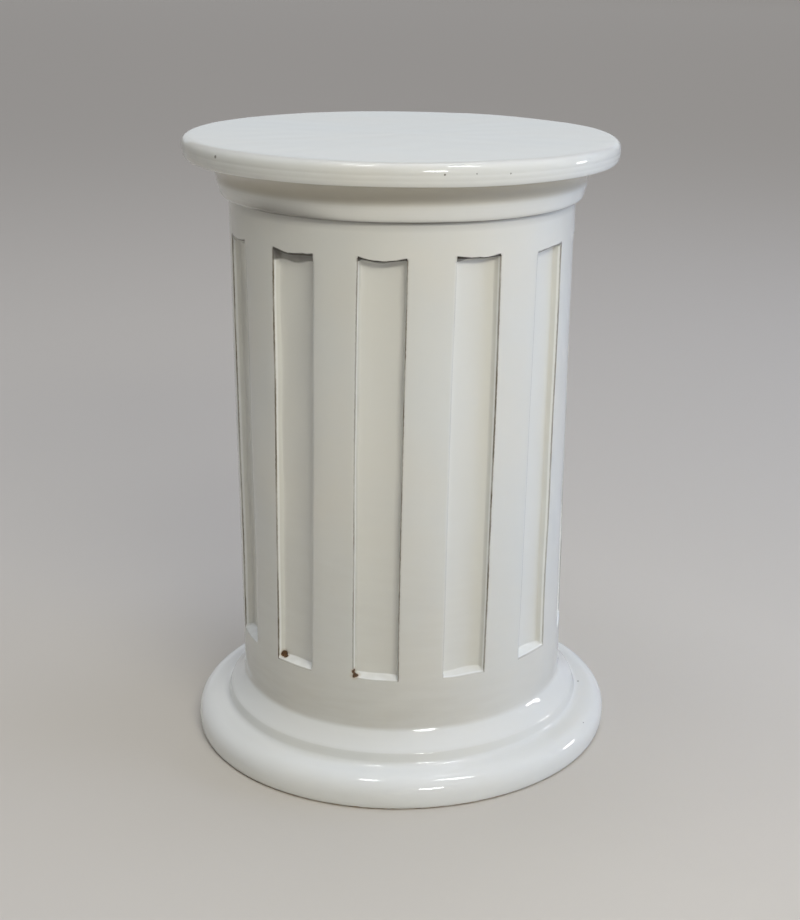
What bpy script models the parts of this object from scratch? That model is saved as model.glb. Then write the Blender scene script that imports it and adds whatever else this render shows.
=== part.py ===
"""A fluted ceramic column, made as one fired piece and hollow from below.

Units are metres and +Z is up. The origin is at the centre of the foot, where the column
stands on the floor, and its front faces -Y.
"""

import math

import bmesh
import bpy

# Overall height, and the radius of the shaft that every moulding is measured from
HEIGHT = 0.550
SHAFT_RADIUS = 0.1505

# Top disc: a round-nosed slab
DISC_PROJECTION = 0.0384       # how far the nose stands out from the shaft
DISC_DEPTH = 0.0194            # top face to the lower edge of the nose
DISC_SHOULDER = 0.0103         # run of the soft shoulder between the flat top and the nose
DISC_SHOULDER_DROP = 0.0082    # fall of that shoulder
DISC_UNDERCUT = 0.0035         # how far the nose turns back under

# Capital: a cove under the disc, a sloping fascia, and a rounded bead over the shaft
CAPITAL_DEPTH = 0.0319         # lower edge of the disc to the underside of the bead
COVE_RUN = 0.0190
COVE_DROP = 0.0186
FASCIA_TOP_PROJECTION = 0.0105
FASCIA_FOOT_PROJECTION = 0.0080
BEAD_ROUND_RUN = 0.0045
BEAD_ROUND_DROP = 0.0048

# Base: a sloping offset, a steep band, and a wide rounded roll
OFFSET_LEDGE = 0.0013          # tiny ledge where the shaft meets the base
OFFSET_PROJECTION = 0.0128
OFFSET_DROP = 0.0150
OFFSET_HOLLOW = 0.0008         # how far the slope sags in its middle
BAND_RUN = 0.0022
BAND_DROP = 0.0072
BAND_FILLET_RUN = 0.0050
BAND_FILLET_DROP = 0.0034
ROLL_PROJECTION = 0.0433
ROLL_HEIGHT = 0.0277
ROLL_ROUND_RUN = 0.0188
ROLL_ROUND_DROP = 0.0190
ROLL_SQUARENESS = 2.5          # 2 is a quarter ellipse, more is squarer
FOOT_UNDERCUT = 0.0033

# Flutes: square-ended recesses with drafted walls, leaning a little as they rise
FLUTE_COUNT = 12
FLUTE_WIDTH = 0.0389           # lip to lip
FLUTE_DEPTH = 0.0090           # from the shaft's surface at the middle of the flute
FLUTE_FOOT_MARGIN = 0.0485     # plain shaft below the flutes
FLUTE_HEAD_MARGIN = 0.0300     # plain shaft above the flutes
FLUTE_FIRST_ANGLE = math.radians(-7.65)   # middle of the flute nearest the front
FLUTE_TWIST = math.radians(3.1)           # turn round the shaft from foot to head
FLUTE_SIDE_DRAFT = math.radians(11.0)
FLUTE_HEAD_DRAFT = math.radians(26.0)
FLUTE_FOOT_DRAFT = math.radians(17.0)
FLUTE_CORNER_ROUND = 0.0048

# Fired body behind the surface
WALL = 0.0080                  # behind the floor of a flute
TOP_PLATE = 0.0150
FOOT_WIDTH = 0.0180
FOOT_INNER_RISE = 0.0060
FLARE_MARGIN = 0.0090          # the hollow starts to flare this far above the base
CEILING_ROUND = 0.0120

# Fineness of the faceted solid
FACETS = 96
ROUND_STEPS = 3
ROLL_STEPS = 6
HOLLOW_STEPS = 2
CORNER_STEPS = 3
MERGE = 0.00001
SHARP_ANGLE = math.radians(32.0)

CUT_CLEARANCE = 0.0040         # the cutters reach this far past the shaft's surface

GLAZE_COLOUR = "#CFCFC8"
GLAZE_ROUGHNESS = 0.16

# Heights and radii that follow from the sizes above
DISC_FOOT = HEIGHT - DISC_DEPTH
NECK = DISC_FOOT - CAPITAL_DEPTH
BAND_FOOT = ROLL_HEIGHT + BAND_FILLET_DROP
BAND_TOP = BAND_FOOT + BAND_DROP
BASE_TOP = BAND_TOP + OFFSET_DROP
CEILING = HEIGHT - TOP_PLATE
NOSE = SHAFT_RADIUS + DISC_PROJECTION
FASCIA_TOP = SHAFT_RADIUS + FASCIA_TOP_PROJECTION
FASCIA_FOOT = SHAFT_RADIUS + FASCIA_FOOT_PROJECTION
OFFSET_EDGE = SHAFT_RADIUS + OFFSET_PROJECTION
BAND_EDGE = OFFSET_EDGE + BAND_RUN
ROLL = SHAFT_RADIUS + ROLL_PROJECTION
FOOT_OUTER = ROLL - FOOT_UNDERCUT
FOOT_INNER = FOOT_OUTER - FOOT_WIDTH
FLUTE_FLOOR = SHAFT_RADIUS - FLUTE_DEPTH
BORE = FLUTE_FLOOR - WALL


def linear(hex_colour):
    """sRGB hex value as a linear RGBA tuple."""
    channels = [int(hex_colour[i:i + 2], 16) / 255.0 for i in (1, 3, 5)]
    return tuple(c / 12.92 if c <= 0.04045 else ((c + 0.055) / 1.055) ** 2.4 for c in channels) + (1.0,)


def glaze():
    """Glossy off-white glaze."""
    material = bpy.data.materials.new("white_glaze")
    material.use_nodes = True
    shader = material.node_tree.nodes["Principled BSDF"]
    shader.inputs["Base Color"].default_value = linear(GLAZE_COLOUR)
    shader.inputs["Roughness"].default_value = GLAZE_ROUGHNESS
    shader.inputs["Metallic"].default_value = 0.0
    material.diffuse_color = linear(GLAZE_COLOUR)
    return material


def quarter(start, end, leaves, steps=ROUND_STEPS, power=2.0):
    """Points after start, up to end, on a quarter ellipse that leaves start level or plumb."""
    points = []
    for i in range(1, steps):
        turn = 0.5 * math.pi * i / steps
        far = math.sin(turn) ** (2.0 / power)
        near = 1.0 - math.cos(turn) ** (2.0 / power)
        across, along = (far, near) if leaves == "level" else (near, far)
        points.append((start[0] + (end[0] - start[0]) * across,
                       start[1] + (end[1] - start[1]) * along))
    return points + [end]


def bowed(start, end, sag, steps):
    """Points after start, up to end, on a shallow bow that sags towards the axis."""
    run, drop = end[0] - start[0], end[1] - start[1]
    length = math.hypot(run, drop)
    points = []
    for i in range(1, steps):
        t = i / steps
        dip = 4.0 * sag * t * (1.0 - t)
        points.append((start[0] + run * t + dip * drop / length,
                       start[1] + drop * t - dip * run / length))
    return points + [end]


def disc_outline():
    """Flat top, shoulder and nose."""
    points = [(0.0, HEIGHT), (NOSE - DISC_SHOULDER, HEIGHT)]
    points += quarter(points[-1], (NOSE, HEIGHT - DISC_SHOULDER_DROP), "level")
    points += quarter(points[-1], (NOSE - DISC_UNDERCUT, DISC_FOOT), "plumb")
    return points


def capital_outline():
    """Cove, fascia and bead, ending where the shaft starts."""
    points = [(FASCIA_TOP + COVE_RUN, DISC_FOOT)]
    points += quarter(points[-1], (FASCIA_TOP, DISC_FOOT - COVE_DROP), "level")
    points.append((FASCIA_FOOT, NECK + BEAD_ROUND_DROP))
    points += quarter(points[-1], (FASCIA_FOOT - BEAD_ROUND_RUN, NECK), "plumb")
    points.append((SHAFT_RADIUS, NECK))
    return points


def base_outline():
    """Ledge, sloping offset, band and roll, down to the foot's outer edge."""
    points = [(SHAFT_RADIUS, BASE_TOP + OFFSET_LEDGE), (SHAFT_RADIUS + OFFSET_LEDGE, BASE_TOP)]
    points += bowed(points[-1], (OFFSET_EDGE, BAND_TOP), OFFSET_HOLLOW, HOLLOW_STEPS)
    points.append((BAND_EDGE, BAND_FOOT))
    points += quarter(points[-1], (BAND_EDGE + BAND_FILLET_RUN, ROLL_HEIGHT), "plumb")
    points.append((ROLL - ROLL_ROUND_RUN, ROLL_HEIGHT))
    points += quarter(points[-1], (ROLL, ROLL_HEIGHT - ROLL_ROUND_DROP), "level",
                      ROLL_STEPS, ROLL_SQUARENESS)
    points += quarter(points[-1], (FOOT_OUTER, 0.0), "plumb")
    return points


def hollow_outline():
    """Foot ring, flare, bore and ceiling, up to the axis."""
    points = [(FOOT_INNER, 0.0), (FOOT_INNER, FOOT_INNER_RISE), (BORE, BASE_TOP + FLARE_MARGIN)]
    points.append((BORE, CEILING - CEILING_ROUND))
    points += quarter(points[-1], (BORE - CEILING_ROUND, CEILING), "plumb")
    points.append((0.0, CEILING))
    return points


def turned(name, points, parts):
    """Outline at +X, from the top's middle down the outside and up the hollow, turned round Z."""
    mesh = bpy.data.meshes.new(name)
    mesh.from_pydata([(r, 0.0, z) for r, z in points], [(i, i + 1) for i in range(len(points) - 1)], [])
    body = bpy.data.objects.new(name, mesh)
    parts.objects.link(body)
    screw = body.modifiers.new("turn", "SCREW")
    screw.axis = "Z"
    screw.angle = 2.0 * math.pi
    screw.steps = FACETS
    screw.render_steps = FACETS
    screw.use_merge_vertices = True
    screw.merge_threshold = MERGE
    return body


def flute_block():
    """Mesh that cuts one flute: +X points out of the shaft, and Z runs up the flute."""
    foot, head = BASE_TOP + FLUTE_FOOT_MARGIN, NECK - FLUTE_HEAD_MARGIN
    middle = 0.5 * (foot + head)
    half_width = 0.5 * FLUTE_WIDTH
    lip = math.sqrt(SHAFT_RADIUS ** 2 - half_width ** 2)
    lean = SHAFT_RADIUS * FLUTE_TWIST / (head - foot)

    block = bmesh.new()
    bmesh.ops.create_cube(block, size=2.0)
    for corner in block.verts:
        outward, side, upward = corner.co
        radius = SHAFT_RADIUS + CUT_CLEARANCE if outward > 0.0 else FLUTE_FLOOR
        reach = radius - lip
        height = foot - reach * math.tan(FLUTE_FOOT_DRAFT)
        if upward > 0.0:
            height = head + reach * math.tan(FLUTE_HEAD_DRAFT)
        across = side * (half_width + reach * math.tan(FLUTE_SIDE_DRAFT))
        corner.co = (radius, across + (height - middle) * lean, height)
    floor_face = min(block.faces, key=lambda face: face.calc_center_median().x)
    bmesh.ops.bevel(block, geom=list(floor_face.edges), offset=FLUTE_CORNER_ROUND,
                    segments=CORNER_STEPS, profile=0.5, affect="EDGES")
    mesh = bpy.data.meshes.new("flute_cutter")
    block.to_mesh(mesh)
    block.free()
    return mesh


def cut_flutes(body, cutters):
    """Takes one flute out of the shaft at each place round it."""
    mesh = flute_block()
    for i in range(FLUTE_COUNT):
        cutter = bpy.data.objects.new("flute_cutter_%02d" % (i + 1), mesh)
        cutter.rotation_euler.z = FLUTE_FIRST_ANGLE - 0.5 * math.pi + i * 2.0 * math.pi / FLUTE_COUNT
        cutter.display_type = "WIRE"
        cutter.hide_render = True
        cutters.objects.link(cutter)
    cut = body.modifiers.new("flutes", "BOOLEAN")
    cut.operation = "DIFFERENCE"
    cut.operand_type = "COLLECTION"
    cut.collection = cutters
    cut.solver = "EXACT"


def settle(body, material):
    """Makes the modifiers' result the object's own mesh, smooth between its arrises."""
    bpy.context.view_layer.update()
    evaluated = body.evaluated_get(bpy.context.evaluated_depsgraph_get())
    mesh = bpy.data.meshes.new_from_object(evaluated)
    mesh.name = body.name
    body.modifiers.clear()
    body.data = mesh
    mesh.materials.clear()
    mesh.materials.append(material)
    mesh.shade_smooth()
    mesh.set_sharp_from_angle(angle=SHARP_ANGLE)


def collection(name):
    """New collection in the scene."""
    made = bpy.data.collections.new(name)
    bpy.context.scene.collection.children.link(made)
    return made


def build():
    for old in list(bpy.data.objects):
        bpy.data.objects.remove(old, do_unlink=True)
    parts = collection("ceramic_column")
    cutters = collection("cutters")
    outline = disc_outline() + capital_outline() + base_outline() + hollow_outline()
    body = turned("fluted_column", outline, parts)
    cut_flutes(body, cutters)
    settle(body, glaze())


build()
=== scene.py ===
"""Looks of the fluted ceramic column: its glazed surface, a pale floor, soft light and a camera.

Shapes are worked out in millimetres and written to the mesh in metres. +Z is up and the front
faces -Y. Flute 0 is the one nearest the front, and flutes are counted to the right of it.
"""

import math

import bpy
import numpy as np
from mathutils import Matrix, Vector


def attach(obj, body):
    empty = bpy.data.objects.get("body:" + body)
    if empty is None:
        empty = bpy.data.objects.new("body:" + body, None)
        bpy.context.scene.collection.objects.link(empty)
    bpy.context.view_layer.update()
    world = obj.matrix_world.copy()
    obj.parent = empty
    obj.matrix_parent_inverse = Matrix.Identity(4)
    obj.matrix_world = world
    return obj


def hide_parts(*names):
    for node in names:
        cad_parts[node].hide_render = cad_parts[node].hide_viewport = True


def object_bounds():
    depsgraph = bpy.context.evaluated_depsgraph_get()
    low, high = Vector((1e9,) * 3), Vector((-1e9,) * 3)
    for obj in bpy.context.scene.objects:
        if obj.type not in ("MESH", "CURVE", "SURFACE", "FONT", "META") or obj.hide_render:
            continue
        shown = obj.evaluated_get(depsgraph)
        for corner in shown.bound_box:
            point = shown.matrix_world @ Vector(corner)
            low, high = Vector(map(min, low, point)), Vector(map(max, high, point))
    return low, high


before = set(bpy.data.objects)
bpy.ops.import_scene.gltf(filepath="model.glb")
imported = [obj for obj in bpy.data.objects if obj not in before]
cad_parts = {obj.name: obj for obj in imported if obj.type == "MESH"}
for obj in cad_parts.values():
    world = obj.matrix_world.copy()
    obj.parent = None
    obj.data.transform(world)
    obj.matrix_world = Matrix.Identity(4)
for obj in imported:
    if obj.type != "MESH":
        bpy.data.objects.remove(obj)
CAD_LOW, CAD_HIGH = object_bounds()
MM = 0.001

# Overall sizes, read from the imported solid
HEIGHT = CAD_HIGH[2] / MM
ROLL_RADIUS = CAD_HIGH[0] / MM

# Radii of the outline, in mm
SHAFT_RADIUS = 150.5
SHAFT_TAPER = 0.6              # the shaft is this much wider at the head, and narrower at the foot
NOSE_RADIUS = 188.9
TOP_FLAT_RADIUS = 178.6
DISC_EDGE_RADIUS = 185.4
COVE_TOP_RADIUS = 180.0
FASCIA_TOP_RADIUS = 161.0
FASCIA_FOOT_RADIUS = 158.5
BEAD_FOOT_RADIUS = 154.0
LEDGE_RADIUS = 151.0
OFFSET_RADIUS = 163.3
BAND_RADIUS = 165.5
BAND_FILLET_RADIUS = 170.5
ROLL_TOP_RADIUS = ROLL_RADIUS - 18.8
FOOT_OUTER_RADIUS = ROLL_RADIUS - 3.3
FOOT_INNER_RADIUS = FOOT_OUTER_RADIUS - 18.0
BORE_RADIUS = 133.5

# Heights of the outline, in mm
NOSE_HEIGHT = HEIGHT - 8.2
DISC_FOOT = HEIGHT - 19.4
COVE_FOOT = DISC_FOOT - 18.6
NECK = DISC_FOOT - 31.9
BEAD_TOP = NECK + 4.8
ROLL_TOP = 27.7
ROLL_SIDE = ROLL_TOP - 19.0
BAND_FOOT = ROLL_TOP + 3.4
BAND_TOP = BAND_FOOT + 7.2
BASE_TOP = BAND_TOP + 15.0
LEDGE_TOP = BASE_TOP + 3.0
FLARE_TOP = BASE_TOP + 9.0
FOOT_INNER_RISE = 6.0
CEILING = HEIGHT - 15.0
CEILING_ROUND = 12.0
OFFSET_HOLLOW = 0.8
ROLL_SQUARENESS = 2.5
NOSE_SQUARENESS = 2.6

# Two shallow turning grooves on the disc's nose: height below the top, depth, half width
NOSE_GROOVES = ((9.7, 0.2, 1.0), (14.1, 0.17, 1.0))

# Flutes, in mm and radians
FLUTE_COUNT = 12
FLUTE_WIDTH = 38.9
FLUTE_DEPTH = 9.5
FLOOR_HOLLOW = 2.0             # the floor is this much shallower beside the walls
WALL_DRAFT = 0.8
CORNER_ROUND = 1.3
FLUTE_HEAD = NECK - 30.0
FLUTE_FOOT = BASE_TOP + 48.5
FLUTE_FIRST_ANGLE = math.radians(-7.65)
FLUTE_TWIST = math.radians(3.1)
HEAD_DROP = 4.4                # the head wall slopes down by this much as it goes in
FOOT_RISE = 3.6                # the foot ledge slopes up by this much as it goes in
CRISP = 0.45                   # how far the glaze softens a sharp lip
SOFT = 1.7                     # and a worn one
FLUTE_PITCH = 2.0 * math.pi * SHAFT_RADIUS / FLUTE_COUNT

# Fineness of the surface: the step of the polylines, the longest steps between rows and between
# columns in mm, the heights where rows are fine, and the turning that asks for one more of them
EVEN_STEP = 0.2
ROW_SPACING = 4.5
ROW_SPACING_ON_SHAFT = 7.5
ROW_SPACING_AT_HEAD = 0.5
ROW_SPACING_AT_FOOT = 0.38
ROW_SPACING_ON_TOP = 14.0
ROW_SPACING_ON_NOSE = 0.6
ROW_SPACING_INSIDE = 60.0
ROW_TURN = math.radians(12.0)
COLUMN_SPACING_ON_STRIP = 9.0
COLUMN_SPACING_IN_FLUTE = 4.2
COLUMN_TURN = math.radians(28.0)
FINE_AT_HEAD = (FLUTE_HEAD - HEAD_DROP - 1.6, FLUTE_HEAD + 3.0)
FINE_AT_FOOT = (FLUTE_FOOT - 1.2, FLUTE_FOOT + FOOT_RISE + 1.6)
GLAZE_SOFTENING = 0.7          # mm, how far the glaze rounds off the turned arrises

# Heights between which the shifts of the flutes' ends set in and fade out again
HEAD_SHIFT = (FLUTE_HEAD - 70.0, FLUTE_HEAD - 9.0), (FLUTE_HEAD + 1.5, NECK - 3.0)
FOOT_SHIFT = (LEDGE_TOP + 3.0, FLUTE_FOOT - 1.5), (FLUTE_FOOT + 7.0, FLUTE_FOOT + 60.0)

# Unevenness: height in mm, or share of the slope or depth, then wavelength in mm and seed
UNEVENNESS = {
    "head_lip": (0.35, 26.0, 41),
    "foot_lip": (0.25, 30.0, 43),
    "head_wall": (0.25, 22.0, 47),
    "foot_ledge": (0.15, 22.0, 53),
    "floor": (0.05, 80.0, 59),
    "broad": (0.22, 120.0, 61),
    "fine": (0.04, 32.0, 67),
    "gathered_fine": (0.25, 17.0, 83),
    "gathered_broad": (0.2, 44.0, 89),
    "head_shade": (0.2, 9.0, 101),
}
SWELL_LIMIT = 1.3              # the broad and fine ripples are cut off here
INSET = 0.35                   # mm, draws the surface in, so that its swellings stay in the CAD box
SWELL_ABOVE_FLOOR = (1.0, 8.0)    # mm, the swelling fades out towards the floor between these
GATHERED_SPREAD = 1.8          # mm, half height of the wavy edge where the shaft meets the base

# Patches in the masks: share they take away, wavelength in mm, seed, and start and end of the step
PATCHES = {
    "wear_and_shade": (0.35, 45.0, 71, -0.9, 0.9),
    "crease": (0.16, 55.0, 73, -0.7, 0.9),
    "pool_and_light": (0.25, 9.0, 97, -0.8, 0.6),
}

# What the hand did on the flutes in view. Shifts are in mm, to the right or up: of each lip at
# head, middle and foot, and of the left and right corners at the head and at the foot. Drop and
# rise are the head wall's and the foot ledge's slopes against the drawing's, sag is how far the
# head's lip hangs down in the middle, and pool how white the foot ledge is, with thick glaze and
# painted light. Brown is how dark the lip's brown line, thin glaze with painted shade, is on the
# left lip, right lip, foot and head; at the head it also sets the painted shade under it. Pool
# and brown run from 0 to 1.
HAND_CUT = {
    -2: {"left": (-2.0, 0.5, 1.5), "right": (-4.0, -2.0, 0.0), "worn_left": 0.2, "worn_right": 0.9,
         "brown": (1.0, 0.0, 0.2, 0.6)},
    -1: {"left": (-2.0, -1.6, -1.6), "right": (-0.2, 0.0, -1.5), "worn_left": 0.1, "worn_right": 0.9,
         "head": (0.3, -0.4), "foot": (-0.2, -0.8), "drop": 1.9, "sag": 0.9, "pool_and_light": 0.9,
         "brown": (1.0, 0.0, 0.35, 0.9)},
    0: {"left": (-0.3, -0.9, 0.1), "right": (0.3, -0.2, 0.5), "worn_left": 0.0, "worn_right": 0.1,
        "head": (-0.2, 0.0), "foot": (0.3, -1.0), "drop": 0.4, "sag": 1.2, "pool_and_light": 1.0,
        "brown": (0.7, 1.0, 0.15, 1.0)},
    1: {"left": (0.6, 0.2, 0.7), "right": (0.6, 1.4, 0.5), "worn_left": 0.3, "worn_right": 0.0,
        "head": (0.9, 0.0), "foot": (-0.1, -1.1), "drop": 0.4, "sag": 0.9, "pool_and_light": 0.45,
        "brown": (0.15, 1.0, 0.15, 1.0)},
    2: {"left": (3.2, 2.0, 0.9), "right": (2.7, 1.3, -0.2), "worn_left": 0.3, "worn_right": 0.1,
        "head": (-2.2, 0.1), "foot": (0.8, 0.0), "drop": 0.9, "sag": 0.2, "pool_and_light": 0.5,
        "brown": (0.2, 0.7, 0.4, 0.45)},
    3: {"left": (3.0, 1.5, 0.5), "right": (0.5, 0.5, 0.5), "worn_left": 0.2, "worn_right": 0.3,
        "brown": (0.1, 0.5, 0.2, 0.4)},
}
HAND_SEED = 12
SWAY_SEED = 300
SWAY = 0.22                    # mm, how far the lips sway on their way down
SWAY_LENGTH = 130.0
SWAY_APART = 50.0              # mm, between the lines that the lips' ripples are read along

# Chips: flute, place across it, height above the foot, depth in, radius and depth, in mm
CHIPS = (
    (-1, -19.2, 2.4, 6.0, 3.0, 0.8),
    (-1, -16.4, 1.9, 5.0, 2.2, 0.6),
    (0, -18.2, 1.8, 3.0, 2.7, 0.8),
    (0, -18.8, 5.6, 2.4, 2.2, 0.5),
)

# Pinholes: degrees round from the front, radius, height and size, in mm
PINHOLES = (
    (9.7, 188.6, 541.2, 0.8),
    (17.3, 188.6, 541.4, 0.6),
    (26.0, 188.3, 540.4, 0.7),
    (-51.5, 188.3, 543.5, 1.3),
    (88.9, 170.5, 27.8, 0.9),
    (63.6, 186.3, 24.2, 0.9),
    (8.8, 153.5, 499.6, 1.0),
    (23.9, 142.5, 110.7, 0.7),
    (25.0, 142.3, 112.5, 0.6),
    (-47.0, 150.3, 100.9, 0.7),
)

# Glaze, in the colours the eye sees in even light, and the colours of painted shade and painted light where
# noted
GLAZE_COOL = "#E0E2DE"
GLAZE_WARM = "#E3E2DA"
GLAZE_THICK = "#DDE0DE"
GLAZE_IN_FLUTES = "#E7E7E0"
# Pooled glaze on the foot ledges, and painted light on them, on the fascia and base, and as a highlight
# inside the lips
GLAZE_POOLED_AND_PAINTED_LIGHT = "#F8FAF8"
# Brown where the glaze draws thin on the lips, with painted shade in it
GLAZE_DRAWN_THIN_WITH_SHADE = "#6A5F4E"
# Painted shade under the flutes' heads
PAINTED_SHADE_UNDER_HEAD = "#2C251D"
# Painted shade in the cove under the disc
PAINTED_SHADE_IN_COVE = "#BEB9AA"
# Painted shade low on the shaft
PAINTED_SHADE_LOW_ON_SHAFT = "#CDCAC0"
# Dirt and painted shade in the crease at the neck
CREASE_DIRT_AND_SHADE = "#4B4438"
CHIP_HALO = "#C3AE97"
BODY_DARK = "#40291E"
BODY_LIGHT = "#7D6040"
PINHOLE = "#5E574B"
BISCUIT_DARK = "#8E6A4C"
BISCUIT_LIGHT = "#B08C68"
GLAZE_IOR = 1.52
GLAZE_ROUGHNESS = 0.05
ROUGHNESS_RANGE = 0.03
BODY_ROUGHNESS = 0.75

# Sizes of the glaze's patterns, in mm
BROAD_CLOUD = 140.0
FINE_CLOUD = 26.0
RAGGED_GRAIN = 3.5
LIP_PATCH = 16.0
LIP_LINE = 0.55                # half the width of the brown line on a lip
LIP_SWAY = 0.8                 # how far the line strays
# The painted highlight inside the lips, laid as a bead of thick glaze
LIP_BEAD_AND_HIGHLIGHT_PLACE = 2.0               # how far inside a lip the bead of thick glaze and painted highlight lies
LIP_BEAD_AND_HIGHLIGHT_SIDE = (0.4, 1.5)         # and how far to either side it is full and has faded out
WARMER_FROM_LIP = (1.0, 7.0)   # how far inside a lip the flute's warmer glaze starts and is full
BODY_GRAIN = 1.2
GLAZE_EDGE_WAVE = 9.0
GLAZE_EDGE_SWAY = 3.0          # how far down the waves reach
GLAZE_EDGE_RISE = 2.0          # how far above the foot's outer edge the glaze stops
RIM_REACH = 9.0                # how far from a lip its distance is told
BRUSH_MARK = 5.0               # across the faint rings that brush and wheel left
STREAK = 8.0                   # across the level streaks low on the shaft
BRUSH_STRETCH = 0.18           # how much shorter than long they are
BRUSH_HEIGHT = 0.028
BRUSH_ON_TOP = 0.08            # share of that left on the level top
CHIP_STEP = 0.35
SPOT_RAGGEDNESS = 0.9          # how far noise moves the edge of a chip or pinhole, by its radius
SPOT_EDGE = 0.55               # the radius less the mean of that noise, by the radius
HALO_REACH = 1.5               # the stain round a chip, by the chip's radius

# Shares of the colours that are laid over the glaze's own
GREYER = 0.25
WARMER = 0.55
STREAK_SHARES = (0.36, 0.56)
LIP_BEAD_AND_HIGHLIGHT_SHARE = 0.75
HALO_SHARE = 0.4
PINHOLE_SHARE = 0.8

# Where painted shade and painted light lie, with thick glaze on the ledges and dirt in the crease, in mm,
# degrees and shares
SHADE_OVER_LIP = 0.9           # the dark under a head starts this far above it
SHADE_OVER_CORNER = 0.8        # and this much higher in its corners
SHADE_ENDS = (9.3, 10.8)       # and fades out this far down the head wall
SHADE_FADING = 1.8             # it pales down the wall where the head's lip isn't all brown
SHADE_FADING_LIMIT = 0.7
LEDGE_STARTS, LEDGE_ENDS = (0.2, 1.2), (9.2, 10.4)
# Painted light on the fascia and the base, less on the band and towards the right
PAINTED_LIGHT_ON_FASCIA = 0.15
PAINTED_LIGHT_ON_BASE = 0.6
LESS_PAINTED_LIGHT_ON_BAND = 0.8
PAINTED_LIGHT_LOSS_TO_RIGHT = 0.6
# Painted shade low on the shaft: shares and heights, and how much less of it on the right
LOW_SHAFT_SHADE_SHARES = ((0.45, 90.0, 360.0), (0.55, 62.0, 115.0))    # shares, and the heights they fade between
LOW_SHAFT_SHADE_LOSS_TO_RIGHT = 0.7
RIGHT_STARTS = (math.radians(5.0), math.radians(50.0))
RIGHT_ENDS = (2.4, 2.9)            # radians
# Dirt and painted shade in the crease at the neck, reaching further up on the shaded left
CREASE_ABOVE = 4.2
CREASE_BELOW = 1.3
CREASE_WIDENING = (9.0, -38.0, 17.0)    # mm more upwards, at this angle, with this spread
CREASE_FILLING = (0.85, -76.0, 17.0)    # share by which the crease's dirt and painted shade is lightened, at this angle, with this spread

# Floor and light
FLOOR_REACH = 40.0
FLOOR_COLOUR = "#CBC6BC"
FLOOR_ROUGHNESS = 0.85
SURROUND_COLOUR = "#FAF7F0"
SURROUND_AT_HORIZON = 0.31
SURROUND_OVERHEAD = 0.11
DAYLIGHT_COLOUR = "#F0F2FF"
DAYLIGHT_STRENGTH = 1.33
DAYLIGHT_SPREAD = 50.0         # degrees

# Lamps: azimuth from the front to the right, elevation, distance, width, height, watts, colour,
# and whether the glaze mirrors the lamp. The others only give soft light. All face a point at the
# target's height on the axis, in metres.
LAMP_TARGET = 0.3
LAMPS = (
    ("key_low", 20.0, 35.0, 1.6, 0.84, 0.25, 9.0, "#FDF9ED", False),
    ("key_high", 20.0, 50.0, 3.0, 1.5, 0.45, 4.5, "#FCFDF6", False),
    ("cool_right", 80.0, 14.0, 3.0, 1.5, 0.45, 24.0, "#C2D6FF", False),
    ("cool_back_right", 110.0, 18.0, 3.0, 1.5, 0.45, 11.0, "#BCD4FF", False),
    ("back", 180.0, 50.0, 3.0, 2.0, 1.0, 7.0, "#F8F4FF", False),
    ("back_left", -110.0, 45.0, 3.0, 1.5, 1.0, 7.0, "#EAF8FF", False),
    ("sheen_on_top", 180.0, 11.0, 20.0, 21.0, 6.0, 135.0, "#EAF6FF", True),
    ("streak_high", 52.0, 65.0, 3.0, 0.34, 1.15, 17.0, "#FFFFFF", True),
    ("streak_front", 15.0, 15.0, 3.0, 0.62, 0.40, 15.0, "#FFFFFF", True),
    ("streak_right", 86.0, 12.0, 3.0, 0.30, 0.05, 1.3, "#FFFFFF", True),
    ("streak_low_right", 100.0, 6.0, 3.0, 0.50, 0.36, 10.0, "#FFFFFF", True),
    ("streak_left", -67.0, 78.0, 3.0, 0.70, 0.25, 9.0, "#FFFFFF", True),
    ("sheen_on_ledges", 180.0, 66.0, 3.0, 1.7, 0.65, 6.0, "#F6FAFF", True),
)

# Camera, in the frame's 800 x 920 pixels, degrees and metres, and its sensor in mm
SENSOR_HEIGHT = 36.0
CLIP = (0.05, 200.0)
FRAME_WIDTH, FRAME_HEIGHT = 800.0, 920.0
FOCAL_PIXELS = 1577.8
CENTRE_X, CENTRE_Y = 488.2, 473.2
CAMERA_PITCH, CAMERA_YAW, CAMERA_ROLL = 18.82, 3.28, 1.09
CAMERA_DISTANCE, CAMERA_HEIGHT = 1.3839, 0.7126


def linear(hex_colour, alpha=1.0):
    """sRGB hex value as linear RGBA."""
    channels = [int(hex_colour[i:i + 2], 16) / 255.0 for i in (1, 3, 5)]
    return [c / 12.92 if c <= 0.04045 else ((c + 0.055) / 1.055) ** 2.4 for c in channels] + [alpha]


def quarter(start, end, leaves, power=2.0, steps=16):
    """Quarter of a superellipse from start to end, start left out: one coordinate follows
    sin(turn)^(2/power) and the other 1 - cos(turn)^(2/power). It leaves start level or plumb."""
    turn = np.linspace(0.0, 0.5 * np.pi, steps + 1)[1:]
    far = np.sin(turn) ** (2.0 / power)
    near = 1.0 - np.clip(np.cos(turn), 0.0, 1.0) ** (2.0 / power)
    across, along = (far, near) if leaves == "level" else (near, far)
    return [(start[0] + (end[0] - start[0]) * a, start[1] + (end[1] - start[1]) * b)
            for a, b in zip(across, along)]


def bowed(start, end, sag, steps=8):
    """Shallow bow from start to end, start left out: the chord, less a parabola of height sag."""
    t = np.linspace(0.0, 1.0, steps + 1)[1:]
    run, drop = end[0] - start[0], end[1] - start[1]
    dip = 4.0 * sag * t * (1.0 - t) / math.hypot(run, drop)
    return list(zip(start[0] + run * t + dip * drop, start[1] + drop * t - dip * run))


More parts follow.
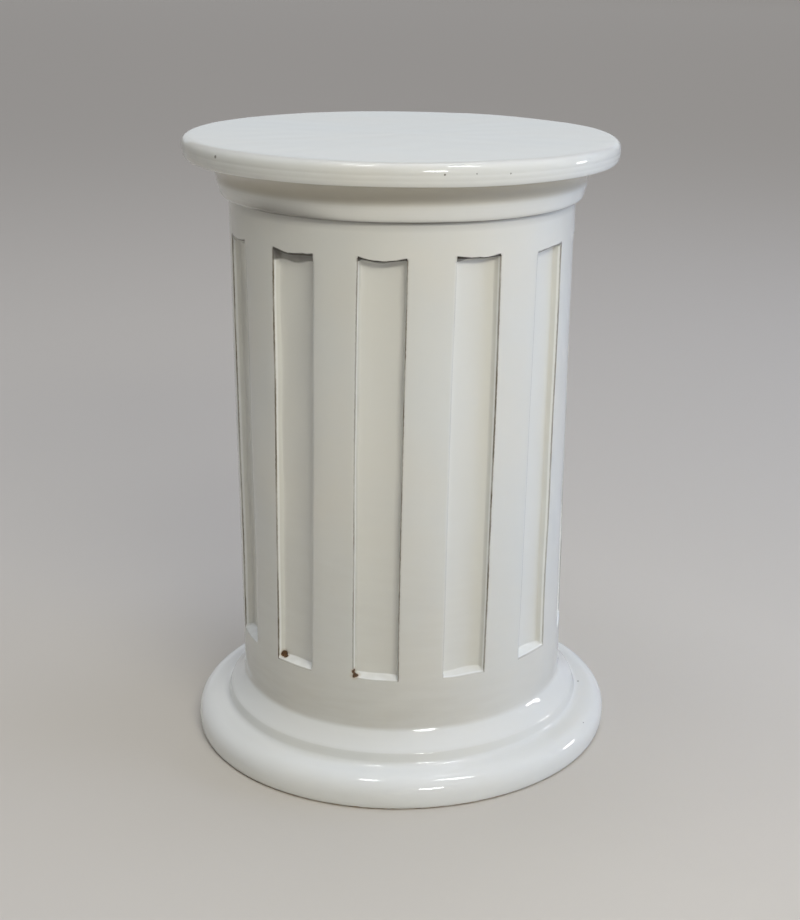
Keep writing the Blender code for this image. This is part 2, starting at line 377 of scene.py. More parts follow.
def even(points):
    """The same polyline with a point every EVEN_STEP of its length."""
    points = np.array(points, float)
    along = np.concatenate([[0.0], np.cumsum(np.hypot(*np.diff(points, axis=0).T))])
    marks = np.linspace(0.0, along[-1], int(along[-1] / EVEN_STEP) + 1)
    return np.column_stack([np.interp(marks, along, points[:, 0]), np.interp(marks, along, points[:, 1])])


def softened(points, spread):
    """Even polyline averaged along itself with a bell curve of that spread, so that arrises round
    off. Its ends are continued by point reflection, which keeps them in place."""
    reach = int(round(4.0 * spread / EVEN_STEP))
    weight = np.exp(-0.5 * (np.arange(-reach, reach + 1) * EVEN_STEP / spread) ** 2)
    padded = np.pad(points, ((reach, reach), (0, 0)), mode="reflect", reflect_type="odd")
    return np.column_stack([np.convolve(padded[:, k], weight / weight.sum(), "valid") for k in (0, 1)])


def stations(curve, spacing, turn):
    """Places along a curve, as fractional indices: each step covers about one unit of
    length / spacing + turning / turn, so bends get more of them than straight runs."""
    step = np.diff(curve, axis=0)
    heading = np.unwrap(np.arctan2(step[:, 1], step[:, 0]))
    turning = np.abs(np.diff(heading, prepend=heading[0]))
    measure = np.concatenate([[0.0], np.cumsum(np.hypot(*step.T) / spacing + turning / turn)])
    count = int(math.ceil(measure[-1]))
    return np.interp(np.linspace(0.0, measure[-1], count + 1), measure, np.arange(len(curve)))


def nearest(points, first, second):
    """Number of the point of a polyline that lies nearest to (first, second)."""
    return np.argmin(np.hypot(points[:, 0] - first, points[:, 1] - second))


def at(values, places):
    """Values of an even polyline's column at fractional indices."""
    return np.interp(places, np.arange(len(values)), values)


def smoothstep(low, high, value):
    """0 below low, 1 above high, and 3t^2 - 2t^3 between."""
    t = np.clip((value - low) / (high - low), 0.0, 1.0)
    return t * t * (3.0 - 2.0 * t)


def ripple(points, wavelength, seed, waves=9):
    """Smooth unevenness between about -1 and 1: the mean of plane waves in random directions,
    each sin(k . p + phase) with a length near wavelength, scaled up by the root of their count."""
    chance = np.random.default_rng(seed)
    direction = chance.normal(size=(waves, 3))
    direction /= np.linalg.norm(direction, axis=1)[:, None]
    pitch = 2.0 * np.pi / (wavelength * chance.uniform(0.75, 1.35, waves))
    phase = chance.uniform(0.0, 2.0 * np.pi, waves)
    total = sum(np.sin(points @ (direction[i] * pitch[i]) + phase[i]) for i in range(waves))
    return total / math.sqrt(waves)


def plateau(value, rise, fall):
    """0 before and after, and 1 between: a smooth step up over rise and one down over fall."""
    return smoothstep(*rise, value) * (1.0 - smoothstep(*fall, value))


def uneven(points, name, limit=np.inf):
    """The named ripple at those points, cut off at a limit and times its height."""
    height, wavelength, seed = UNEVENNESS[name]
    return height * np.clip(ripple(points, wavelength, seed), -limit, limit)


def patches(points, name):
    """1, less the named share where its ripple is low: a smooth step through that ripple."""
    share, wavelength, seed, low, high = PATCHES[name]
    return 1.0 - share + share * smoothstep(low, high, ripple(points, wavelength, seed))


def near_angle(angle, centre, spread):
    """Bell curve exp(-(turn / spread)^2) of the turn round the axis from a centre, in degrees."""
    turn = np.remainder(angle - math.radians(centre) + np.pi, 2.0 * np.pi) - np.pi
    return np.exp(-(turn / math.radians(spread)) ** 2)


def outline():
    """The column's section from the middle of the top down the outside and up the hollow, as
    points (radius, height) joined by straight runs, quarter superellipses and one bow."""
    p = [(0.0, HEIGHT), (TOP_FLAT_RADIUS, HEIGHT)]
    p += quarter(p[-1], (NOSE_RADIUS, NOSE_HEIGHT), "level", NOSE_SQUARENESS)
    p += quarter(p[-1], (DISC_EDGE_RADIUS, DISC_FOOT), "plumb")
    p.append((COVE_TOP_RADIUS, DISC_FOOT))
    p += quarter(p[-1], (FASCIA_TOP_RADIUS, COVE_FOOT), "level")
    p.append((FASCIA_FOOT_RADIUS, BEAD_TOP))
    p += quarter(p[-1], (BEAD_FOOT_RADIUS, NECK), "plumb")
    p.append((SHAFT_RADIUS + SHAFT_TAPER, NECK))
    p.append((SHAFT_RADIUS - SHAFT_TAPER, LEDGE_TOP))
    p.append((LEDGE_RADIUS, BASE_TOP))
    p += bowed(p[-1], (OFFSET_RADIUS, BAND_TOP), OFFSET_HOLLOW)
    p.append((BAND_RADIUS, BAND_FOOT))
    p += quarter(p[-1], (BAND_FILLET_RADIUS, ROLL_TOP), "plumb")
    p.append((ROLL_TOP_RADIUS, ROLL_TOP))
    p += quarter(p[-1], (ROLL_RADIUS, ROLL_SIDE), "level", ROLL_SQUARENESS)
    p += quarter(p[-1], (FOOT_OUTER_RADIUS, 0.0), "plumb")
    p += [(FOOT_INNER_RADIUS, 0.0), (FOOT_INNER_RADIUS, FOOT_INNER_RISE), (BORE_RADIUS, FLARE_TOP)]
    p.append((BORE_RADIUS, CEILING - CEILING_ROUND))
    p += quarter(p[-1], (BORE_RADIUS - CEILING_ROUND, CEILING), "plumb")
    p.append((0.0, CEILING))
    return even(p)


def row_spacing(curve):
    """Longest step between rows on each part of the outline: fine over the ends of the flutes
    and on the disc's nose, coarse on the flat top and in the hollow."""
    middle = 0.5 * (curve[1:] + curve[:-1])
    r, z = middle.T
    on_shaft = (np.abs(r - SHAFT_RADIUS) < SHAFT_TAPER + 0.2) & (z < NECK) & (z > LEDGE_TOP)
    spacing = np.full(len(r), ROW_SPACING)
    spacing[on_shaft] = ROW_SPACING_ON_SHAFT
    spacing[on_shaft & (z > FINE_AT_HEAD[0]) & (z < FINE_AT_HEAD[1])] = ROW_SPACING_AT_HEAD
    spacing[on_shaft & (z > FINE_AT_FOOT[0]) & (z < FINE_AT_FOOT[1])] = ROW_SPACING_AT_FOOT
    spacing[(z > HEIGHT - 0.5) & (r < TOP_FLAT_RADIUS - 6.0)] = ROW_SPACING_ON_TOP
    spacing[(r > DISC_EDGE_RADIUS) & (z < HEIGHT - 7.0) & (z > DISC_FOOT)] = ROW_SPACING_ON_NOSE
    spacing[nearest(middle, FOOT_INNER_RADIUS, 0.0) + 1:] = ROW_SPACING_INSIDE
    return spacing


def section(spread):
    """Half the strip beside a flute and half the flute, across the shaft, as points (across,
    depth): a level run, a steep wall, a quarter round, and a floor whose depth is the full depth
    less the hollow times (across / width)^2."""
    half = 0.5 * FLUTE_WIDTH
    beside_wall = FLUTE_DEPTH - FLOOR_HOLLOW
    points = [(0.5 * FLUTE_PITCH, 0.0), (half, 0.0), (half - WALL_DRAFT, beside_wall - CORNER_ROUND)]
    corner = (half - WALL_DRAFT - CORNER_ROUND, beside_wall)
    points += quarter(points[-1], corner, "plumb")
    across = np.linspace(corner[0], 0.0, 20)[1:]
    points += list(zip(across, FLUTE_DEPTH - FLOOR_HOLLOW * (across / corner[0]) ** 2))
    return softened(even(points), spread)


def columns():
    """Columns of the grid, counted round the shaft. Each has its flute, its side (-1 left, 1
    right), its place across that flute and its depth where the lip is crisp and where it is
    worn, and its distance past the lip, all at nominal sizes."""
    crisp, worn = section(CRISP), section(SOFT)
    across_mid = 0.5 * (crisp[1:, 0] + crisp[:-1, 0])
    on_strip = across_mid > 0.5 * FLUTE_WIDTH + 1.5
    spacing = np.where(on_strip, COLUMN_SPACING_ON_STRIP, COLUMN_SPACING_IN_FLUTE)
    places = stations(crisp, spacing, COLUMN_TURN)
    lip = (0.5 * FLUTE_PITCH - 0.5 * FLUTE_WIDTH) / EVEN_STEP
    half = {
        "crisp_across": at(crisp[:, 0], places), "crisp_depth": at(crisp[:, 1], places),
        "worn_across": at(worn[:, 0], places), "worn_depth": at(worn[:, 1], places),
        "past_lip": (places - lip) * EVEN_STEP,
    }
    both = {key: np.concatenate([value, value[-2:0:-1]]) for key, value in half.items()}
    side = np.concatenate([-np.ones(len(places)), np.ones(len(places) - 2)])
    table = {key: np.tile(value, FLUTE_COUNT) for key, value in both.items()}
    table["side"] = np.tile(side, FLUTE_COUNT)
    table["flute"] = np.repeat(np.arange(FLUTE_COUNT), len(side))
    table["crisp_across"] = table["crisp_across"] * table["side"]
    table["worn_across"] = table["worn_across"] * table["side"]
    return table


def between_lips(table, left, right):
    """Spreads a value known at each flute's left and right lips over all columns: it runs
    straight from lip to lip, inside the flutes and over the strips between them. left and right
    have one row for each row of the grid, or one in all, and one column for each flute."""
    half = 0.5 * FLUTE_WIDTH
    across, flute = table["crisp_across"], table["flute"]
    inside = np.clip((across + half) / FLUTE_WIDTH, 0.0, 1.0)
    strip = np.clip((np.abs(across) - half) / (FLUTE_PITCH - FLUTE_WIDTH), 0.0, 1.0)
    after, before = (flute + 1) % FLUTE_COUNT, (flute - 1) % FLUTE_COUNT
    own = (1.0 - inside) * left[..., flute] + inside * right[..., flute]
    neighbour = np.where(across > 0.0, left[..., after], right[..., before])
    return (1.0 - strip) * own + strip * neighbour


def by_hand():
    """How the hand-cut flutes differ from the drawing: for each flute the shifts of its lips at
    head, middle and foot, how worn and how brown each lip is, how far its corners, head wall and
    foot ledge are off, how far its head sags and how white its ledge is, with thick glaze and
    painted light. Flutes in view follow HAND_CUT, and the rest take small chance values of that
    size."""
    chance = np.random.default_rng(HAND_SEED)
    values = {
        "left": chance.normal(0.0, 0.7, (3, FLUTE_COUNT)),
        "right": chance.normal(0.0, 0.7, (3, FLUTE_COUNT)),
        "worn_left": chance.uniform(0.0, 0.5, FLUTE_COUNT),
        "worn_right": chance.uniform(0.0, 0.5, FLUTE_COUNT),
        "head": chance.normal(0.0, 0.5, (2, FLUTE_COUNT)),
        "foot": chance.normal(0.0, 0.4, (2, FLUTE_COUNT)),
        "drop": chance.uniform(0.8, 1.3, FLUTE_COUNT),
        "rise": chance.uniform(0.9, 1.2, FLUTE_COUNT),
        "brown": chance.uniform(0.1, 0.9, (4, FLUTE_COUNT)),
        "sag": chance.uniform(-0.4, 1.4, FLUTE_COUNT),
        "pool_and_light": chance.uniform(0.5, 1.0, FLUTE_COUNT),
    }
    for flute, cut in HAND_CUT.items():
        for key, value in cut.items():
            values[key][..., flute % FLUTE_COUNT] = value
    return values


def quadratic(ends, t):
    """Parabola through three values, at t = 1, 1/2 and 0 (head, middle and foot)."""
    head, middle, foot = ends
    t = t[:, None]
    return head * t * (2.0 * t - 1.0) + middle * 4.0 * t * (1.0 - t) + foot * (1.0 - t) * (1.0 - 2.0 * t)


def flute_ends():
    """The flute's run down the shaft as an even polyline (height, depth): head wall, floor and
    foot ledge, with the numbers of its points at the head's lip and at the foot's."""
    points = [(NECK, 0.0), (FLUTE_HEAD, 0.0), (FLUTE_HEAD - HEAD_DROP, FLUTE_DEPTH),
              (FLUTE_FOOT + FOOT_RISE, FLUTE_DEPTH), (FLUTE_FOOT, 0.0), (LEDGE_TOP, 0.0)]
    run = even(points)
    return softened(run, CRISP), nearest(run, FLUTE_HEAD, 0.0), nearest(run, FLUTE_FOOT, 0.0)


def rows():
    """Rows of the grid, counted down the outline: each one's radius, height and outward normal,
    whether it is outside and whether it crosses the flutes, the share of their full depth there,
    and its distances in from their heads and feet, up from the glaze's edge and down from the
    crease at the neck."""
    curve = outline()
    soft = softened(curve, GLAZE_SOFTENING)
    places = stations(soft, row_spacing(curve), ROW_TURN)[1:-1]
    tangent = np.gradient(soft, axis=0)
    tangent /= np.hypot(*tangent.T)[:, None]
    height = at(soft[:, 1], places)
    foot_place = nearest(curve, FOOT_OUTER_RADIUS, 0.0)
    crease_place = nearest(curve, SHAFT_RADIUS + SHAFT_TAPER, NECK)
    outside = places < foot_place
    fluted = outside & (height < NECK) & (height > LEDGE_TOP)
    run, head_place, foot_end = flute_ends()
    run_place = np.interp(-height, -run[:, 0], np.arange(len(run)))
    return {
        "radius": at(soft[:, 0], places), "height": height,
        "normal_r": -at(tangent[:, 1], places), "normal_z": at(tangent[:, 0], places),
        "outside": outside, "fluted": fluted,
        "depth_share": np.where(fluted, at(run[:, 1], run_place) / FLUTE_DEPTH, 0.0),
        "past_head": (run_place - head_place) * EVEN_STEP,
        "past_foot": (foot_end - run_place) * EVEN_STEP,
        "from_glaze_edge": (foot_place - places) * EVEN_STEP - GLAZE_EDGE_RISE,
        "past_crease": (places - crease_place) * EVEN_STEP,
    }


def middle_share(table):
    """Parabola across each flute: 1 in its middle and 0 at its lips and beyond."""
    return np.clip(1.0 - (2.0 * table["crisp_across"] / FLUTE_WIDTH) ** 2, 0.0, 1.0)


def lifted(row, table, cut, arc):
    """How far each point moves up. Near the ends of the flutes it follows their corners, spread
    from lip to lip, less the head's sag times a parabola, and the slopes of head wall and foot
    ledge, as much more or less than drawn as was cut. Ripples along the arc are added."""
    height = row["height"]
    near_head = np.where(row["outside"], plateau(height, *HEAD_SHIFT), 0.0)[:, None]
    near_foot = np.where(row["outside"], plateau(height, *FOOT_SHIFT), 0.0)[:, None]
    lift = near_head * (between_lips(table, *cut["head"]) + uneven(arc, "head_lip"))
    lift += near_foot * (between_lips(table, *cut["foot"]) + uneven(arc, "foot_lip"))
    lift -= near_head * cut["sag"][table["flute"]] * middle_share(table)
    drop = between_lips(table, cut["drop"], cut["drop"]) - 1.0 + uneven(arc, "head_wall")
    rise = between_lips(table, cut["rise"], cut["rise"]) - 1.0 + uneven(arc, "foot_ledge")
    lift -= near_head * drop * np.clip(FLUTE_HEAD - height, 0.0, HEAD_DROP)[:, None]
    lift += near_foot * rise * np.clip(height - FLUTE_FOOT, 0.0, FOOT_RISE)[:, None]
    return lift


def round_axis(reach, angle, level):
    """Points from radius, angle from the front to the right, and height."""
    return np.stack([reach * np.sin(angle), -reach * np.cos(angle), level], -1)


def glaze_surface():
    """The whole outer and inner surface as one grid of rows down the outline and columns round
    the axis, and the masks on it. A point is (radius - depth across x depth along, angle,
    height), where the angle follows the flutes' lean, and small hand-made differences are added
    to each."""
    row, table, cut = rows(), columns(), by_hand()
    height, outside = row["height"], row["outside"]
    t = np.where(outside, np.clip((height - FLUTE_FOOT) / (FLUTE_HEAD - FLUTE_FOOT), 0.0, 1.0), 0.0)
    level_line = height * 0.0
    sway = [ripple(np.column_stack([level_line + SWAY_APART * k, level_line, height]),
                   SWAY_LENGTH, SWAY_SEED + k) for k in range(2 * FLUTE_COUNT)]
    left = quadratic(cut["left"], t) + SWAY * np.array(sway[:FLUTE_COUNT]).T
    right = quadratic(cut["right"], t) + SWAY * np.array(sway[FLUTE_COUNT:]).T
    shift = between_lips(table, left, right)
    flute = table["flute"]
    worn = np.where(table["side"] < 0.0, cut["worn_left"][flute], cut["worn_right"][flute])
    across = (1.0 - worn) * table["crisp_across"] + worn * table["worn_across"] + shift
    depth = (1.0 - worn) * table["crisp_depth"] + worn * table["worn_depth"]
    middle = FLUTE_FIRST_ANGLE + flute * 2.0 * np.pi / FLUTE_COUNT
    angle = middle + across / SHAFT_RADIUS + FLUTE_TWIST * (t[:, None] - 0.5)
    arc = np.stack([angle * SHAFT_RADIUS, angle * 0.0, angle * 0.0], -1)

    radius = row["radius"]
    for below_top, groove, half_width in NOSE_GROOVES:
        dip = groove * np.exp(-((HEIGHT - height - below_top) / half_width) ** 2)
        radius = radius - np.where(outside, dip, 0.0)
    level = np.repeat(height[:, None], len(depth), 1) + lifted(row, table, cut, arc)
    reach = np.repeat(radius[:, None], len(depth), 1)
    place = round_axis(reach, angle, level)
    reach = reach - row["depth_share"][:, None] * depth * (1.0 + uneven(place, "floor"))
    free = np.where(outside, smoothstep(*SWELL_ABOVE_FLOOR, height), 0.0)[:, None]
    swell = free * (uneven(place, "broad", SWELL_LIMIT) + uneven(place, "fine", SWELL_LIMIT) - INSET)
    reach = reach + swell * row["normal_r"][:, None]
    level = level + swell * row["normal_z"][:, None]
    place = round_axis(reach, angle, level)
    gathered = np.exp(-((height - BASE_TOP) / GATHERED_SPREAD) ** 2) * outside
    gathered = gathered[:, None] * (uneven(place, "gathered_fine") + uneven(place, "gathered_broad"))
    place = place + gathered[..., None] * round_axis(1.0, angle, 0.0 * angle)
    for chip in chips():
        near = np.clip(1.0 - np.sum((place - chip["place"]) ** 2, -1) / chip["radius"] ** 2, 0.0, 1.0)
        place = place - (near * chip["depth"])[..., None] * chip["outward"]
    return place, glaze_masks(row, table, cut, place, angle, arc)


def glaze_masks(row, table, cut, place, angle, arc):
    """What the material reads at each point of the grid: the distances in from the nearest lip,
    which is the least of those past side, head and foot, and up from the glaze's edge, and
    shares from 0 to 1, made of smooth steps and bell curves of distance, height and angle."""
    height, outside, fluted = row["height"], row["outside"], row["fluted"][:, None]
    past_head, past_foot = row["past_head"][:, None], row["past_foot"][:, None]
    past_side = np.repeat(table["past_lip"][None, :], len(height), 0)
    to_right = plateau(angle, RIGHT_STARTS, RIGHT_ENDS)

    # Brown lips where the glaze draws thin, with painted shade in them, and painted shade under the heads
    from_rim = np.minimum(np.minimum(past_side, past_head), past_foot)
    from_rim = np.where(fluted, np.clip(from_rim, -RIM_REACH, RIM_REACH), -RIM_REACH)
    brown_left, brown_right, brown_foot, brown_head = cut["brown"][:, table["flute"]]
    on_side = np.where(table["side"] < 0.0, brown_left, brown_right)
    on_end = np.where(past_head < past_foot, brown_head, brown_foot)
    at_end = smoothstep(-1.0, 1.0, past_side - np.minimum(past_head, past_foot))
    wear_and_shade = (at_end * on_end + (1.0 - at_end) * on_side) * patches(place, "wear_and_shade")
    # Painted shade under the heads, from just over the lip down the head wall and onto the floor
    over_lip = SHADE_OVER_LIP + SHADE_OVER_CORNER * (1.0 - middle_share(table)) + uneven(arc, "head_shade")
    shade = smoothstep(-0.3, 0.3, past_head + over_lip) * smoothstep(-0.6, 0.6, past_side)
    shade = shade * (1.0 - smoothstep(*SHADE_ENDS, past_head))
    fading = np.clip(SHADE_FADING * (1.0 - brown_head), 0.0, SHADE_FADING_LIMIT)
    shade = shade * brown_head * (1.0 - fading * smoothstep(0.5, 10.0, past_head))
    in_upper_half = (height > 0.5 * (FLUTE_HEAD + FLUTE_FOOT))[:, None]

    # Thick glaze and painted light on the foot ledges, painted light on the fascia and the base, and painted
    # shade low on the shaft; the last two fade out towards the right
    ledge = np.where(fluted, plateau(past_foot, LEDGE_STARTS, LEDGE_ENDS), 0.0)
    pooled_and_painted_light = ledge * smoothstep(0.2, 1.5, past_side) * cut["pool_and_light"][table["flute"]]
    pooled_and_painted_light = pooled_and_painted_light * patches(place, "pool_and_light")
    on_fascia = plateau(height, (BEAD_TOP - 2.5, BEAD_TOP + 0.5), (COVE_FOOT - 2.0, COVE_FOOT + 3.0))
    on_band = plateau(height, (BAND_FOOT - 1.0, BAND_FOOT + 1.0), (BAND_TOP - 1.0, BAND_TOP + 1.0))
    on_base = (1.0 - smoothstep(BASE_TOP, BASE_TOP + 1.5, height)) * (1.0 - LESS_PAINTED_LIGHT_ON_BAND * on_band)
    fascia_and_base_light = np.where(outside, PAINTED_LIGHT_ON_FASCIA * on_fascia + PAINTED_LIGHT_ON_BASE * on_base, 0.0)[:, None]
    pooled_and_painted_light = np.maximum(pooled_and_painted_light, fascia_and_base_light * (1.0 - PAINTED_LIGHT_LOSS_TO_RIGHT * to_right))
    on_shaft = outside & (height > LEDGE_TOP - 1.0) & (height < NECK)
    low_shaft_shade = sum(share * (1.0 - smoothstep(low, high, height)) for share, low, high in LOW_SHAFT_SHADE_SHARES)
    low_shaft_shade = np.where(on_shaft, low_shaft_shade, 0.0)[:, None] * (1.0 - LOW_SHAFT_SHADE_LOSS_TO_RIGHT * to_right)

    # Dirt and painted shade in the crease at the neck, and painted shade in the cove under the disc
    past_crease = row["past_crease"][:, None]
    more, centre, spread = CREASE_WIDENING
    above = CREASE_ABOVE + more * near_angle(angle, centre, spread)
    crease = np.exp(-(past_crease / np.where(past_crease < 0.0, above, CREASE_BELOW)) ** 2)
    filled, centre, spread = CREASE_FILLING
    crease = crease * (1.0 - filled * near_angle(angle, centre, spread)) * patches(place, "crease")
    # Painted shade in the cove under the disc
    in_cove = outside & (height < DISC_FOOT + 1.0) & (row["radius"] < DISC_EDGE_RADIUS - 0.5)
    cove_shade = np.where(in_cove, smoothstep(COVE_FOOT - 2.0, COVE_FOOT + 5.0, height), 0.0)
    return {
        "cove_shade": np.repeat(cove_shade[:, None], place.shape[1], 1),
        "from_rim": from_rim,
        "rim_wear_and_shade": wear_and_shade,
        "painted_shade_under_head": np.where(fluted & in_upper_half, shade, 0.0),
        "pooled_and_painted_light": pooled_and_painted_light,
        "low_shaft_shade": low_shaft_shade,
        "from_glaze_edge": np.repeat(row["from_glaze_edge"][:, None], place.shape[1], 1),
        "crease": crease,
    }


def chip_place(flute, across, height, inward):
    """Point in or on a flute, in mm from the axis, and the level direction out of it."""
    t = (height - FLUTE_FOOT) / (FLUTE_HEAD - FLUTE_FOOT)
    angle = (FLUTE_FIRST_ANGLE + flute * 2.0 * math.pi / FLUTE_COUNT
             + across / SHAFT_RADIUS + FLUTE_TWIST * (t - 0.5))
    outward = np.array([math.sin(angle), -math.cos(angle), 0.0])
    place = outward * (SHAFT_RADIUS - inward)
    place[2] = height
    return place, outward


def chips():
    """Places where the glaze has broken away, each with its centre, radius, depth and outward
    direction."""
    made = []
    for flute, across, up, inward, radius, depth in CHIPS:
        place, outward = chip_place(flute, across, FLUTE_FOOT + up, inward)
        made.append({"place": place, "outward": outward, "radius": radius, "depth": depth})
    return made


def closed_grid(name, place, fields, top, bottom):
    """Mesh from a grid that closes on itself sideways, with a fan of triangles to one point at
    either end: quad (i, j) joins rows i and i+1 and columns j and j+1, counted round."""
    count_rows, count_columns = place.shape[:2]
    points = np.vstack([place.reshape(-1, 3), top, bottom]) * MM
    index = np.arange(count_rows * count_columns).reshape(count_rows, count_columns)
    after = np.roll(index, -1, axis=1)
    quads = np.stack([index[:-1], index[1:], after[1:], after[:-1]], -1).reshape(-1)
    first = np.full(count_columns, count_rows * count_columns)
    fans = np.concatenate([np.stack([first, index[0], after[0]], -1),
                           np.stack([index[-1], first + 1, after[-1]], -1)]).reshape(-1)
    corners = np.concatenate([quads, fans])
    sizes = np.concatenate([np.full(len(quads) // 4, 4), np.full(len(fans) // 3, 3)])
    mesh = bpy.data.meshes.new(name)
    mesh.vertices.add(len(points))
    mesh.vertices.foreach_set("co", points.astype(np.float32).reshape(-1))
    mesh.loops.add(len(corners))
    mesh.loops.foreach_set("vertex_index", corners.astype(np.int32))
    mesh.polygons.add(len(sizes))
    mesh.polygons.foreach_set("loop_start", np.concatenate([[0], np.cumsum(sizes)[:-1]]).astype(np.int32))
    mesh.update(calc_edges=True)
    mesh.validate()
    mesh.shade_smooth()
    for key, value in fields.items():
        ends = [value[0].mean(), value[-1].mean()]
        layer = mesh.attributes.new(key, "FLOAT", "POINT")
        layer.data.foreach_set("value", np.concatenate([value.reshape(-1), ends]).astype(np.float32))
    piece = bpy.data.objects.new(name, mesh)
    bpy.context.scene.collection.objects.link(piece)
    return piece


def node(tree, kind, inputs=None, output=0, **settings):
    """Adds a node and gives back the output asked for. Settings are the node's own properties.
    Inputs are its sockets by name or number: another node's socket is linked, a hex colour is
    made linear, and anything else is set."""
    made = tree.nodes.new(kind)
    for key, value in settings.items():
        setattr(made, key, value)
    for key, value in (inputs or {}).items():
        if isinstance(value, bpy.types.NodeSocket):
            tree.links.new(value, made.inputs[key])
        elif isinstance(value, str):
            made.inputs[key].default_value = linear(value)
        else:
            made.inputs[key].default_value = value
    return made.outputs[output]


def maths(tree, operation, *values):
    """Arithmetic on one to three values."""
    return node(tree, "ShaderNodeMath", dict(enumerate(values)), operation=operation)


def mixed(tree, share, first, second):
    """The first colour, with as much of the second over it as the share says."""
    return node(tree, "ShaderNodeMix", {0: share, 6: first, 7: second}, 2, data_type="RGBA")


def ranged(tree, value, low, high, start=0.0, end=1.0, step="LINEAR"):
    """The value carried from the range low to high over to start to end, and held beyond it."""
    inputs = {"Value": value, "From Min": low, "From Max": high, "To Min": start, "To Max": end}
    return node(tree, "ShaderNodeMapRange", inputs, interpolation_type=step)


def per_metre(wavelength):
    """Noise scale on metres whose features are about that many mm across."""
    return 1.0 / (wavelength * MM)


def spots(tree, place, ragged, marks, soft):
    """Mask that is 1 within each mark and 0 outside: the distance to its centre, less a little
    noise, through a smooth step at its radius. Marks are (centre, radius) in mm."""
    total = 0.0
    for centre, radius in marks:
        reach = radius * MM
        both = {0: place, 1: Vector(centre) * MM}
        away = node(tree, "ShaderNodeVectorMath", both, "Value", operation="DISTANCE")
        far = maths(tree, "MULTIPLY_ADD", ragged, -SPOT_RAGGEDNESS * reach, away)
        full, gone = (SPOT_EDGE - soft) * reach, (SPOT_EDGE + soft) * reach
        total = maths(tree, "MAXIMUM", ranged(tree, far, full, gone, 1.0, 0.0, "SMOOTHSTEP"), total)
    return total


